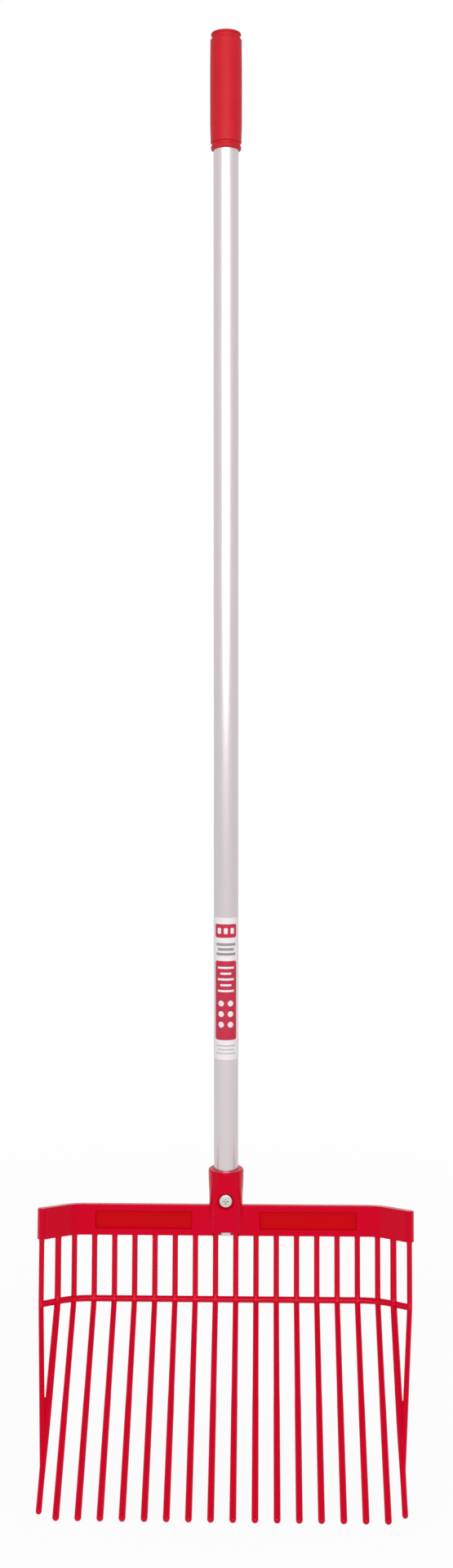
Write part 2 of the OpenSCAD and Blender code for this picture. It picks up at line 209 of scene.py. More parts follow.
def moulded_abs(name, dark, light, least_rough, most_rough, gloss_tint):
    """Injection moulded ABS: even colour, a gloss given by the mould and a faint ripple in it."""
    material, tree, place = start_material(name)
    flow_size_mm = 35
    ripple_size_mm = 3
    ripple_depth_mm = 0.2
    flow = add(tree, "ShaderNodeTexNoise",
               {"Vector": place, "Scale": 1 / (flow_size_mm * MM), "Detail": 2}).outputs["Fac"]
    ripple = add(tree, "ShaderNodeTexNoise",
                 {"Vector": place, "Scale": 1 / (ripple_size_mm * MM), "Detail": 3}).outputs["Fac"]
    tone = add(tree, "ShaderNodeMix", {"Factor": flow, "A": linear(dark), "B": linear(light)},
               data_type="RGBA")
    gloss = add(tree, "ShaderNodeMapRange", {"Value": ripple, "To Min": least_rough, "To Max": most_rough})
    bump = add(tree, "ShaderNodeBump", {"Height": ripple, "Strength": 0.06, "Distance": ripple_depth_mm * MM})
    finish_material(tree, {
        "Base Color": tone.outputs["Result"], "Roughness": gloss.outputs["Result"],
        "Normal": bump.outputs["Normal"], "IOR": 1.53, "Specular Tint": linear(gloss_tint),
    })
    return material


def soft_grip_plastic():
    """Soft PVC with a spark-eroded mould texture: matt, with a fine grain that breaks up the highlight."""
    material, tree, place = start_material("textured soft PVC")
    # The real grain is about 0.3 mm wide; it is drawn coarser so that it shows
    grain_size_mm = 1.3
    grain_depth_mm = 0.3
    patch_size_mm = 18
    grain = add(tree, "ShaderNodeTexNoise",
                {"Vector": place, "Scale": 1 / (grain_size_mm * MM), "Detail": 3}).outputs["Fac"]
    patch = add(tree, "ShaderNodeTexNoise",
                {"Vector": place, "Scale": 1 / (patch_size_mm * MM), "Detail": 2}).outputs["Fac"]
    tone = add(tree, "ShaderNodeMix", {"Factor": patch, "A": linear("#C80F1F"), "B": linear("#D41A2B")},
               data_type="RGBA")
    gloss = add(tree, "ShaderNodeMapRange", {"Value": grain, "To Min": 0.42, "To Max": 0.6})
    bump = add(tree, "ShaderNodeBump", {"Height": grain, "Strength": 0.7, "Distance": grain_depth_mm * MM})
    finish_material(tree, {
        "Base Color": tone.outputs["Result"], "Roughness": gloss.outputs["Result"],
        "Normal": bump.outputs["Normal"], "IOR": 1.5, "Specular Tint": linear("#FFC0C4"),
    })
    return material


def satin_aluminium():
    """Drawn aluminium tube: satin, with fine draw lines along its length."""
    material, tree, place = start_material("satin drawn aluminium")
    round_tube = add(tree, "ShaderNodeTangent", direction_type="RADIAL", axis="Z").outputs["Tangent"]
    line_width_mm = 0.6
    line_length_mm = 90
    line_depth_mm = 0.05
    along = add(tree, "ShaderNodeMapping", {"Vector": place, "Scale": (1, 1, line_width_mm / line_length_mm)})
    lines = add(tree, "ShaderNodeTexNoise", {
        "Vector": along.outputs["Vector"], "Scale": 1 / (line_width_mm * MM), "Detail": 3,
    }).outputs["Fac"]
    tone = add(tree, "ShaderNodeMix", {"Factor": lines, "A": linear("#DAD0D3"), "B": linear("#E4DBDD")},
               data_type="RGBA")
    gloss = add(tree, "ShaderNodeMapRange", {"Value": lines, "To Min": 0.24, "To Max": 0.34})
    bump = add(tree, "ShaderNodeBump", {"Height": lines, "Strength": 0.08, "Distance": line_depth_mm * MM})
    finish_material(tree, {
        "Base Color": tone.outputs["Result"], "Roughness": gloss.outputs["Result"],
        "Normal": bump.outputs["Normal"], "Metallic": 1, "Anisotropic": 0.6, "Tangent": round_tube,
    })
    return material


def zinc_plate():
    """Bright zinc plating on steel: a cool metal with cloudy passivation."""
    material, tree, place = start_material("bright zinc plate")
    cloud_size_mm = 2
    cloud = add(tree, "ShaderNodeTexNoise",
                {"Vector": place, "Scale": 1 / (cloud_size_mm * MM), "Detail": 4}).outputs["Fac"]
    tone = add(tree, "ShaderNodeMix", {"Factor": cloud, "A": linear("#CFCFC8"), "B": linear("#E6E6E2")},
               data_type="RGBA")
    gloss = add(tree, "ShaderNodeMapRange", {"Value": cloud, "To Min": 0.16, "To Max": 0.32})
    finish_material(tree, {
        "Base Color": tone.outputs["Result"], "Roughness": gloss.outputs["Result"], "Metallic": 1,
    })
    return material


def natural_nylon():
    """Natural nylon: milky, waxy and slightly see-through."""
    material, tree, place = start_material("natural nylon")
    haze_size_mm = 1.5
    glow_depth_mm = 1
    haze = add(tree, "ShaderNodeTexNoise",
               {"Vector": place, "Scale": 1 / (haze_size_mm * MM), "Detail": 2}).outputs["Fac"]
    tone = add(tree, "ShaderNodeMix", {"Factor": haze, "A": linear("#E4E3D8"), "B": linear("#EFEEE6")},
               data_type="RGBA")
    gloss = add(tree, "ShaderNodeMapRange", {"Value": haze, "To Min": 0.35, "To Max": 0.5})
    finish_material(tree, {
        "Base Color": tone.outputs["Result"], "Roughness": gloss.outputs["Result"], "IOR": 1.53,
        "Subsurface Weight": 0.3, "Subsurface Radius": [glow_depth_mm * MM] * 3,
    })
    return material


def printed_film():
    """White adhesive film with plain printed blocks; its map is in millimetres from the label's middle."""
    material, tree, place = start_material("printed white film")
    spot = add(tree, "ShaderNodeUVMap", uv_map="millimetres").outputs["UV"]
    red = linear("#C60C3A")
    grey = linear("#9A9496")
    pale = linear("#C9C4C5")
    white = linear("#F4EEF3")
    field_half = 12.5
    line_half = 11
    # Each block: its middle across and along the tube, half width, half height, corner radius and colour
    blocks = [(0, -12, field_half, 41, 2.5, red)]
    for i in range(5):
        blocks.append((0, 22 - 6 * i, 9 - 3 * (i % 2), 1.1, 1, white))
    for i in range(6):
        blocks.append((5 - 10 * (i % 2), -15 - 11 * (i // 2), 3, 3, 3, white))
    blocks.append((0, 60, field_half, 7, 2, red))
    for i in range(3):
        blocks.append((-7 + 7 * i, 60, 2, 3, 0.9, white))
    for i in range(3):
        blocks.append((0, 46 - 5 * i, line_half - 2 * (i % 2), 1.4, 0.4, grey))
    for i in range(3):
        blocks.append((0, -59 - 4 * i, line_half - 2 * (i % 2), 0.8, 0.4, pale))
    edge_mm = 0.12
    colour = white
    for middle_x, middle_y, half_w, half_h, corner, ink in blocks:
        moved = add(tree, "ShaderNodeVectorMath", {0: spot, 1: (middle_x, middle_y, 0)}, operation="SUBTRACT")
        folded = add(tree, "ShaderNodeVectorMath", {0: moved.outputs["Vector"]}, operation="ABSOLUTE")
        core = (half_w - corner, half_h - corner, 0)
        past = add(tree, "ShaderNodeVectorMath", {0: folded.outputs["Vector"], 1: core}, operation="SUBTRACT")
        outside = add(tree, "ShaderNodeVectorMath", {0: past.outputs["Vector"], 1: (0, 0, 0)},
                      operation="MAXIMUM")
        reach = add(tree, "ShaderNodeVectorMath", {0: outside.outputs["Vector"]}, operation="LENGTH")
        inked = add(tree, "ShaderNodeMapRange", {
            "Value": reach.outputs["Value"], "From Min": corner + edge_mm, "From Max": corner - edge_mm,
        })
        mixed = add(tree, "ShaderNodeMix", {"Factor": inked.outputs["Result"], "A": colour, "B": ink},
                    data_type="RGBA")
        colour = mixed.outputs["Result"]
    film_size_mm = 4
    film = add(tree, "ShaderNodeTexNoise",
               {"Vector": place, "Scale": 1 / (film_size_mm * MM), "Detail": 2}).outputs["Fac"]
    gloss = add(tree, "ShaderNodeMapRange", {"Value": film, "To Min": 0.3, "To Max": 0.42})
    finish_material(tree, {
        "Base Color": colour, "Roughness": gloss.outputs["Result"], "IOR": 1.5,
        "Coat Weight": 0.15, "Coat Roughness": 0.2,
    })
    return material


# The bar and the socket are glossy; the tines a little glossier, and their slightly lighter red is painted
# light; the sunk panels satin, and their darker red is painted shade in the recesses
HEAD_ABS = moulded_abs("glossy moulded ABS", "#CE0020", "#D8002C", 0.16, 0.26, "#FF5468")
TINE_ABS_PAINTED_LIGHT = moulded_abs("polished moulded ABS with painted light", "#D00020", "#DA002C", 0.12, 0.18, "#FF7488")
# The sunk panels' darker red is painted shade in the recesses; their higher roughness is the satin finish
PANEL_ABS_PAINTED_SHADE = moulded_abs("satin moulded ABS with painted shade", "#C40006", "#CC000A", 0.4, 0.5, "#FF5468")
GRIP_PVC = soft_grip_plastic()
TUBE_ALUMINIUM = satin_aluminium()
BOLT_ZINC = zinc_plate()
RING_NYLON = natural_nylon()
LABEL_FILM = printed_film()


def as_object(name, mesh, material):
    """Puts a finished mesh in the scene as an object at the origin."""
    mesh.materials.clear()
    mesh.materials.append(material)
    obj = bpy.data.objects.new(name, mesh)
    bpy.context.scene.collection.objects.link(obj)
    return obj


def take_modifier(obj, modifier):
    """Turns the object with its one modifier into a plain mesh."""
    graph = bpy.context.evaluated_depsgraph_get()
    mesh = bpy.data.meshes.new_from_object(obj.evaluated_get(graph))
    obj.modifiers.remove(modifier)
    old = obj.data
    obj.data = mesh
    bpy.data.meshes.remove(old)


def shade(obj, sharp_degrees):
    """Smooth shading with creases where faces meet at more than the angle; flat faces stay flat."""
    obj.data.shade_smooth()
    obj.data.set_sharp_from_angle(angle=math.radians(sharp_degrees))
    modifier = obj.modifiers.new("flat faces", "WEIGHTED_NORMAL")
    modifier.keep_sharp = True
    take_modifier(obj, modifier)


def arc(middle_a, middle_b, radius, start, end, steps):
    """Points on an arc, angles in degrees."""
    turns = [math.radians(start + (end - start) * i / steps) for i in range(steps + 1)]
    return [(middle_a + radius * math.cos(t), middle_b + radius * math.sin(t)) for t in turns]


def loft(name, rings, place, material, closed=False):
    """Skins a row of rings of equal counts; the ends are capped, or the last ring meets the first."""
    touching = 0.001 * MM
    count = len(rings[0])
    verts = [place @ Vector(point) for ring in rings for point in ring]
    faces = []
    for k in range(len(rings) if closed else len(rings) - 1):
        low = k * count
        high = (k + 1) % len(rings) * count
        for i in range(count):
            j = (i + 1) % count
            faces.append((low + i, low + j, high + j, high + i))
    if not closed:
        faces.append(tuple(range(count - 1, -1, -1)))
        faces.append(tuple(range((len(rings) - 1) * count, len(rings) * count)))
    mesh = bpy.data.meshes.new(name)
    mesh.from_pydata(verts, [], faces)
    work = bmesh.new()
    work.from_mesh(mesh)
    bmesh.ops.remove_doubles(work, verts=work.verts, dist=touching)
    bmesh.ops.recalc_face_normals(work, faces=work.faces)
    work.to_mesh(mesh)
    work.free()
    return as_object(name, mesh, material)


def lathe(name, profile, place, material, segments=96, closed=False):
    """Turns a profile of radius and height about z."""
    turns = [2 * math.pi * i / segments for i in range(segments)]
    rings = [[(r * math.cos(t), r * math.sin(t), z) for t in turns] for r, z in profile]
    return loft(name, rings, place, material, closed)


def bolt_drill(foot, top):
    """Cutter for the hole that the bolt goes through, with a little play."""
    radius = BOLT_R + BOLT_PLAY
    return lathe("drill", [(radius, foot), (radius, top)], ON_BOLT, BOLT_ZINC, 48)


def combine(base, other, operation):
    """Joins another closed mesh to the base or cuts it away, and removes the other."""
    modifier = base.modifiers.new(operation.lower(), "BOOLEAN")
    modifier.object = other
    modifier.operation = operation
    modifier.solver = "MANIFOLD"
    modifier.material_mode = "TRANSFER"
    take_modifier(base, modifier)
    bpy.data.meshes.remove(other.data)


def remove_slivers(obj):
    """Merges points that the cuts left almost on each other and makes triangles, for a closed mesh."""
    sliver = 0.005 * MM
    work = bmesh.new()
    work.from_mesh(obj.data)
    bmesh.ops.remove_doubles(work, verts=work.verts, dist=sliver)
    bmesh.ops.dissolve_degenerate(work, edges=work.edges, dist=sliver)
    bmesh.ops.triangulate(work, faces=work.faces)
    bmesh.ops.dissolve_degenerate(work, edges=work.edges, dist=sliver)
    work.to_mesh(obj.data)
    work.free()


def finish_piece(obj, slot, *nodes):
    """Ties a piece to the frame: it rides on the part's one body and stands for CAD nodes."""
    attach(obj, "root")
    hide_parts(*nodes)


def make_tube():
    """The drawn tube, open at both ends, with the bolt's hole through it."""
    chamfer = 0.3
    inner = TUBE_R - TUBE_WALL
    profile = [
        (inner + chamfer, 0), (TUBE_R - chamfer, 0), (TUBE_R, chamfer),
        (TUBE_R, TUBE_LEN - chamfer), (TUBE_R - chamfer, TUBE_LEN), (inner + chamfer, TUBE_LEN),
        (inner, TUBE_LEN - chamfer), (inner, chamfer),
    ]
    tube = lathe("handle_tube_drawn", profile, ON_HANDLE, TUBE_ALUMINIUM, 128, closed=True)
    combine(tube, bolt_drill(-2 * TUBE_R, 2 * TUBE_R), "DIFFERENCE")
    shade(tube, 30)
    finish_piece(tube, "tube_aluminium", "handle_tube")


def make_grip():
    """The sleeve, turned from its lower lip over groove, body, upper groove and bead to the closed end."""
    foot = TUBE_LEN + GRIP_END - GRIP_LEN
    top = TUBE_LEN + GRIP_END
    bore = TUBE_R + GRIP_FIT
    axis_r = 0.02
    lip_r = 15
    lip_top = foot + 3.8
    lip_edge = 1.8
    groove_r = 13.8
    groove_edge = 0.7
    root = 0.3
    body_foot = lip_top + 3
    foot_r = GRIP_R - 0.45
    swell_foot = foot + 12
    swell_h = 18
    belly_foot = foot + 50
    belly_top = foot + 70
    top_r = GRIP_R - 0.25
    fall_h = 30
    shoulder = 1.7
    shoulder_top = top - 5.5
    neck_foot = top - 5.2
    neck_top = top - 2.7
    bead_r = 14.85
    bead_foot = top - 2.3
    bead_edge = 1.1
    dish_depth = 0.5
    mouth_w = 0.2
    mouth_h = 0.4
    profile = [(bore, foot + mouth_h), (bore + mouth_w, foot)]
    profile += arc(lip_r - lip_edge, foot + lip_edge, lip_edge, -90, 0, 7)
    profile += arc(lip_r - groove_edge, lip_top - groove_edge, groove_edge, 0, 90, 5)
    profile += [(groove_r + root, lip_top), (groove_r, lip_top + root)]
    profile += [(groove_r, body_foot - root), (groove_r + root, body_foot)]
    profile += arc(foot_r - groove_edge, body_foot + groove_edge, groove_edge, -90, 0, 5)
    # The body swells a little to its straight belly and thins again towards the closed end
    steps = 6
    for i in range(steps + 1):
        turn = math.pi / 2 * i / steps
        profile.append((foot_r + (GRIP_R - foot_r) * math.sin(turn), swell_foot + swell_h * i / steps))
    profile += [(GRIP_R, belly_foot), (GRIP_R, belly_top)]
    for i in range(1, steps + 1):
        turn = math.pi / 2 * i / steps
        profile.append((top_r + (GRIP_R - top_r) * math.cos(turn), belly_top + fall_h * i / steps))
    profile += arc(top_r - shoulder, shoulder_top - shoulder, shoulder, 0, 90, 7)
    profile += [(groove_r, neck_foot), (groove_r, neck_top)]
    profile += arc(bead_r - bead_edge, bead_foot + bead_edge, bead_edge, -90, 0, 6)
    profile += arc(bead_r - bead_edge, top - bead_edge, bead_edge, 0, 90, 7)
    # The closed end has a shallow dish
    profile += [(11, top - 0.05), (10, top - 0.4), (5, top - dish_depth), (axis_r, top - dish_depth)]
    profile += [(axis_r, TUBE_LEN), (bore, TUBE_LEN)]
    grip = lathe("grip_sleeve", profile, ON_HANDLE, GRIP_PVC, 96, closed=True)
    shade(grip, 40)
    finish_piece(grip, "grip_plastic", "handle_grip")


def make_label():
    """A curved film with a front, a back and a rim, and a map in millimetres from its middle."""
    columns = 84
    rows = 24
    inner = TUBE_R + LABEL_GAP
    outer = inner + LABEL_T
    half_sweep = math.radians(LABEL_SWEEP / 2)
    mesh = bpy.data.meshes.new("label")
    work = bmesh.new()
    spots = work.verts.layers.float_vector.new("spot")
    grids = []
    for radius in (outer, inner):
        grid = []
        for j in range(rows + 1):
            height = LABEL_LEN * j / rows
            line = []
            for i in range(columns + 1):
                turn = half_sweep * (2 * i / columns - 1)
                point = (radius * math.sin(turn), -radius * math.cos(turn), LABEL_START + height)
                vert = work.verts.new(ON_HANDLE @ Vector(point))
                vert[spots] = (outer * turn, height - LABEL_LEN / 2, 0)
                line.append(vert)
            grid.append(line)
        grids.append(grid)
    front, back = grids
    for j in range(rows):
        for i in range(columns):
            work.faces.new((front[j][i], front[j][i + 1], front[j + 1][i + 1], front[j + 1][i]))
            work.faces.new((back[j][i], back[j + 1][i], back[j + 1][i + 1], back[j][i + 1]))
    rim = [(0, i) for i in range(columns)] + [(j, columns) for j in range(rows)]
    rim += [(rows, i) for i in range(columns, 0, -1)] + [(j, 0) for j in range(rows, 0, -1)]
    for k, (j, i) in enumerate(rim):
        next_j, next_i = rim[(k + 1) % len(rim)]
        work.faces.new((front[next_j][next_i], front[j][i], back[j][i], back[next_j][next_i]))
    map_layer = work.loops.layers.uv.new("millimetres")
    for face in work.faces:
        for loop in face.loops:
            loop[map_layer].uv = loop.vert[spots].xy
    bmesh.ops.recalc_face_normals(work, faces=work.faces)
    work.verts.layers.float_vector.remove(spots)
    work.to_mesh(mesh)
    work.free()
    label = as_object("label_film", mesh, LABEL_FILM)
    shade(label, 40)
    finish_piece(label, "label_film", "handle_label")


def rod_tree():
    """Geometry Nodes: a round rod along a path of straight runs, bent at the corners, repeated along x."""
    tree = bpy.data.node_groups.new("bent rod", "GeometryNodeTree")
    sizes = {
        "Bend Radius": TINE_BEND_R * MM, "Root Radius": TINE_R * MM, "Tip Radius": TIP_R * MM,
        "Step": 0.0, "Step At": TINE_STEP_AT, "Step Half": TINE_STEP_HALF,
        "Root Flare": 0.0, "Flare Start": 0.0, "Round Start": 0.0, "Rings": 90,
        "Count": 1, "Pitch": TINE_PITCH * MM,
    }
    tree.interface.new_socket("Path", in_out="INPUT", socket_type="NodeSocketGeometry")
    for name, size in sizes.items():
        kind = "NodeSocketInt" if isinstance(size, int) else "NodeSocketFloat"
        tree.interface.new_socket(name, in_out="INPUT", socket_type=kind).default_value = size
    tree.interface.new_socket("Finish", in_out="INPUT", socket_type="NodeSocketMaterial")
    tree.interface.new_socket("Rods", in_out="OUTPUT", socket_type="NodeSocketGeometry")
    given = add(tree, "NodeGroupInput").outputs
    bend_steps = 14
    rod_sides = 24
    path = add(tree, "GeometryNodeMeshToCurve", {"Mesh": given["Path"]}).outputs["Curve"]
    bent = add(tree, "GeometryNodeFilletCurve", {
        "Curve": path, "Radius": given["Bend Radius"], "Count": bend_steps, "Limit Radius": True,
    }, mode="POLY").outputs["Curve"]
    line = add(tree, "GeometryNodeCurvePrimitiveLine", {"Start": (0, 0, 0), "End": (1, 0, 0)})
    rings = add(tree, "GeometryNodeResampleCurve", {
        "Curve": line.outputs["Curve"], "Count": given["Rings"],
    }).outputs["Curve"]

    tip_rings = 8
    ring_turn = math.pi / 2 / tip_rings
    flare_len = 4 * MM
    # Each formula: its result, the operation and the terms, which are inputs, earlier results or numbers
    formulas = [
        # Place of a ring: even along the rod, and closing up like a ball at a round end
        ("start rings", "MULTIPLY", "Round Start", tip_rings),
        ("body rings", "SUBTRACT", "Rings", 1 + tip_rings),
        ("body rings", "SUBTRACT", "body rings", "start rings"),
        ("past start", "SUBTRACT", "index", "start rings"),
        ("share", "DIVIDE", "past start", "body rings"),
        ("share", "MAXIMUM", "share", 0),
        ("share", "MINIMUM", "share", 1),
        ("past body", "SUBTRACT", "past start", "body rings"),
        ("past body", "MAXIMUM", "past body", 0),
        ("tip turn", "MULTIPLY", "past body", ring_turn),
        ("before body", "SUBTRACT", "start rings", "index"),
        ("before body", "MAXIMUM", "before body", 0),
        ("start turn", "MULTIPLY", "before body", ring_turn),
        ("start radius", "MULTIPLY", "Root Radius", "Round Start"),
        ("body length", "SUBTRACT", "length", "Tip Radius"),
        ("body length", "SUBTRACT", "body length", "start radius"),
        ("start reach", "SINE", "start turn"),
        ("start reach", "SUBTRACT", 1, "start reach"),
        ("start reach", "MULTIPLY", "start radius", "start reach"),
        ("reach", "MULTIPLY_ADD", "share", "body length", "start reach"),
        ("tip reach", "SINE", "tip turn"),
        ("reach", "MULTIPLY_ADD", "Tip Radius", "tip reach", "reach"),
        # Radius of a ring: an even growth from root to tip
        ("growth", "SUBTRACT", "Tip Radius", "Root Radius"),
        ("growth", "SUBTRACT", "growth", "Step"),
        ("radius", "MULTIPLY_ADD", "share", "growth", "Root Radius"),
        # One smooth step on the way
        ("past step", "SUBTRACT", "share", "Step At"),
        ("past step", "DIVIDE", "past step", "Step Half"),
        ("past step", "MULTIPLY_ADD", "past step", 0.5, 0.5),
        ("past step", "MAXIMUM", "past step", 0),
        ("past step", "MINIMUM", "past step", 1),
        ("step rise", "MULTIPLY_ADD", "past step", -2, 3),
        ("step rise", "MULTIPLY", "step rise", "past step"),
        ("step rise", "MULTIPLY", "step rise", "past step"),
        ("radius", "MULTIPLY_ADD", "step rise", "Step", "radius"),
        # A flare where the root leaves the bar
        ("past root", "SUBTRACT", "reach", "Flare Start"),
        ("near root", "MULTIPLY_ADD", "past root", -1 / flare_len, 1),
        ("near root", "MAXIMUM", "near root", 0),
        ("near root", "MINIMUM", "near root", 1),
        ("near root", "MULTIPLY", "near root", "near root"),
        ("radius", "MULTIPLY_ADD", "near root", "Root Flare", "radius"),
        # The round ends
        ("tip width", "COSINE", "tip turn"),
        ("start width", "COSINE", "start turn"),
        ("end width", "MULTIPLY", "tip width", "start width"),
        ("end width", "MAXIMUM", "end width", 0.01),
        ("radius", "MULTIPLY", "radius", "end width"),
        # The row of rods is centred on zero
        ("row start", "SUBTRACT", "Count", 1),
        ("row start", "MULTIPLY", "row start", "Pitch"),
        ("row start", "MULTIPLY", "row start", -0.5),
    ]
    results = {name: given[name] for name in sizes}
    results["index"] = add(tree, "GeometryNodeInputIndex").outputs["Index"]
    results["length"] = add(tree, "GeometryNodeCurveLength", {"Curve": bent}).outputs["Length"]
    for result, operation, *terms in formulas:
        values = {i: results.get(term, term) for i, term in enumerate(terms)}
        results[result] = add(tree, "ShaderNodeMath", values, operation=operation).outputs["Value"]

    sample = add(tree, "GeometryNodeSampleCurve", {"Curves": bent, "Length": results["reach"]},
                 mode="LENGTH", use_all_curves=True)
    placed = add(tree, "GeometryNodeSetPosition", {"Geometry": rings, "Position": sample.outputs["Position"]})
    outline = add(tree, "GeometryNodeCurvePrimitiveCircle", {"Resolution": rod_sides, "Radius": 1.0})
    rod = add(tree, "GeometryNodeCurveToMesh", {
        "Curve": placed.outputs["Geometry"], "Profile Curve": outline.outputs["Curve"],
        "Scale": results["radius"], "Fill Caps": True,
    }).outputs["Mesh"]
    row_start = add(tree, "ShaderNodeCombineXYZ", {"X": results["row start"]}).outputs["Vector"]
    row_step = add(tree, "ShaderNodeCombineXYZ", {"X": given["Pitch"]}).outputs["Vector"]
    row = add(tree, "GeometryNodeMeshLine", {
        "Count": given["Count"], "Start Location": row_start, "Offset": row_step,
    }).outputs["Mesh"]
    copies = add(tree, "GeometryNodeInstanceOnPoints", {"Points": row, "Instance": rod}).outputs["Instances"]
    real = add(tree, "GeometryNodeRealizeInstances", {"Geometry": copies}).outputs["Geometry"]
    done = add(tree, "GeometryNodeSetMaterial", {"Geometry": real, "Material": given["Finish"]})
    add(tree, "NodeGroupOutput", {"Rods": done.outputs["Geometry"]})
    return tree


ROD_TREE = rod_tree()


def rods(name, points, **sizes):
    """A rod, or a row of them, through points of the head's frame; sizes are the tree's inputs."""
    mesh = bpy.data.meshes.new(name)
    mesh.from_pydata([Vector(p) * MM for p in points], [(i, i + 1) for i in range(len(points) - 1)], [])
    obj = as_object(name, mesh, TINE_ABS_PAINTED_LIGHT)
    modifier = obj.modifiers.new("rod", "NODES")
    modifier.node_group = ROD_TREE
    values = {label.replace("_", " ").title(): value for label, value in sizes.items()}
    values["Finish"] = TINE_ABS_PAINTED_LIGHT
    for item in ROD_TREE.interface.items_tree:
        if item.in_out == "INPUT" and item.name in values:
            modifier[item.identifier] = values[item.name]
    take_modifier(obj, modifier)
    obj.data.transform(IN_HEAD @ Matrix.Scale(1 / MM, 4))
    work = bmesh.new()
    work.from_mesh(obj.data)
    bmesh.ops.recalc_face_normals(work, faces=work.faces)
    work.to_mesh(obj.data)
    work.free()
    return obj


def bar_outline(inset):
    """Plan of the cross bar, from its middle round both turned ends, drawn in by an inset."""
    run_in = (BAR_BEND_R + BAR_FRONT) * math.tan(SIDE_ANGLE / 2)
    bend = Vector((CORNER_X - run_in, -BAR_BEND_R - BAR_FRONT, 0))
    steps = 10
    turn = math.degrees(SIDE_ANGLE)
    front = arc(bend.x, bend.y, BAR_BEND_R + inset, 90, 90 - turn, steps)
    back = arc(bend.x, bend.y, BAR_BEND_R + BAR_FRONT + BAR_BACK - inset, 90 - turn, 90, steps)
    half_t = (BAR_FRONT + BAR_BACK) / 2
    across = Vector((SIDE_WAY.y, -SIDE_WAY.x, 0))
    middle = Vector((CORNER_X, 0, 0)) + SIDE_WAY * BAR_END - across * (half_t - BAR_FRONT)
    end = arc(middle.x, middle.y, half_t - inset, -90 - turn, 90 - turn, 20)
    right = [(0, -BAR_FRONT + inset)] + front + end + back + [(0, BAR_BACK - inset)]
    left = [(-x, y) for x, y in right[1:-1]]
    return right + left[::-1]


def make_bar():
    """The cross bar, with a round post at each end where the outer side tine hangs."""
    foot_edge = 0.7
    top_edge = 1.3
    levels = [(foot_edge - a, foot_edge + b) for a, b in arc(0, 0, foot_edge, -90, 0, 4)]
    levels += [(top_edge - a, BAR_H - top_edge + b) for a, b in arc(0, 0, top_edge, 0, 90, 6)]
    rings = [[(x, y, z) for x, y in bar_outline(inset)] for inset, z in levels]
    bar = loft("bar", rings, IN_HEAD, HEAD_ABS)
    axis_r = 0.05
    inside = 0.1
    chamfer = 0.5
    post_edge = 1.4
    post_r = BAR_FRONT + 0.35
    spot = Vector((CORNER_X, 0, 0)) + SIDE_WAY * 2 * TINE_PITCH
    profile = [(axis_r, inside), (post_r - chamfer, inside), (post_r, inside + chamfer)]
    profile += arc(post_r - post_edge, BAR_H - inside - post_edge, post_edge, 0, 90, 5)
    profile.append((axis_r, BAR_H - inside))
    for side in (-1, 1):
        place = IN_HEAD @ Matrix.Translation((side * spot.x, spot.y, 0))
        combine(bar, lathe("post", profile, place, HEAD_ABS, 40), "UNION")
    return bar


def socket_outline(blend):
    """Plan of the socket: flats with cut-off corners, passing into the round rim as blend goes to one."""
    corner = Vector((SOCKET_FLAT / 2, SOCKET_FRONT, 0))
    side_at = math.sqrt(corner.length ** 2 - SOCKET_SIDE ** 2)
    chamfer = Vector((SOCKET_SIDE, side_at, 0)) - corner
    slope = math.atan2(-chamfer.y, chamfer.x)
    front_chamfer = (math.sin(slope), math.cos(slope))
    reach = corner.x * front_chamfer[0] + corner.y * front_chamfer[1]
    back_reach = (SOCKET_SIDE + side_at) * math.sqrt(0.5)
    planes = [(0, -1, SOCKET_FRONT), (0, 1, SOCKET_BACK)]
    for side in (-1, 1):
        planes.append((side, 0, SOCKET_SIDE))
        planes.append((side * front_chamfer[0], -front_chamfer[1], reach))
        planes.append((side * math.sqrt(0.5), math.sqrt(0.5), back_reach))
    segments = 240
    # The higher this power, the sharper the corners between the flats
    sharpness = 30
    ring = []
    for i in range(segments):
        turn = 2 * math.pi * i / segments
        x = math.cos(turn)
        y = math.sin(turn)
        pulls = [max(x * a + y * b, 0) / distance for a, b, distance in planes]
        radius = sum(p ** sharpness for p in pulls) ** (-1 / sharpness)
        radius += (RIM_R - radius) * blend
        ring.append((radius * x, radius * y))
    return ring


def ease(share):
    """A smooth step from zero to one."""
    share = min(max(share, 0), 1)
    return share * share * (3 - 2 * share)


def make_socket():
    """The socket, flat-sided at its foot and round at its rim, with a small edge round the foot."""
    flat_top = SOCKET_H - RIM_H - RIM_BLEND
    foot_edge = 0.5
    foot_bevel = 0.15
    ring_gap = 8
    flats = socket_outline(0)
    rings = []
    for shrink, rise in ((foot_edge, 0), (foot_bevel, foot_bevel), (0, foot_edge)):
        keep = 1 - shrink / RIM_R
        rings.append([(x * keep, y * keep, SOCKET_FOOT + rise) for x, y in flats])
    for gaps_left in (3, 2, 1, 0):
        rings.append([(x, y, flat_top - gaps_left * ring_gap) for x, y in flats])
    for i in range(1, RIM_BLEND + 1):
        rings.append([(x, y, flat_top + i) for x, y in socket_outline(ease(i / RIM_BLEND))])
    circle = socket_outline(1)
    for r, height in arc(RIM_R - RIM_EDGE, SOCKET_H - RIM_EDGE, RIM_EDGE, 0, 90, 8):
        rings.append([(x * r / RIM_R, y * r / RIM_R, height) for x, y in circle])
    return loft("socket", rings, ON_HANDLE, HEAD_ABS)


def make_arch():
    """Cutter for the opening under the socket's front wall."""
    below = -3
    radius = (ARCH_HALF ** 2 + ARCH_RISE ** 2) / (2 * ARCH_RISE)
    spread = math.degrees(math.asin(ARCH_HALF / radius))
    top = arc(0, ARCH_H - radius, radius, 90 - spread, 90 + spread, 24)
    outline = top + [(-ARCH_HALF, below), (ARCH_HALF, below)]
    rings = [[(x, y, z) for x, z in outline] for y in (-2 * SOCKET_FRONT, 0)]
    return loft("arch", rings, ON_HANDLE, HEAD_ABS)


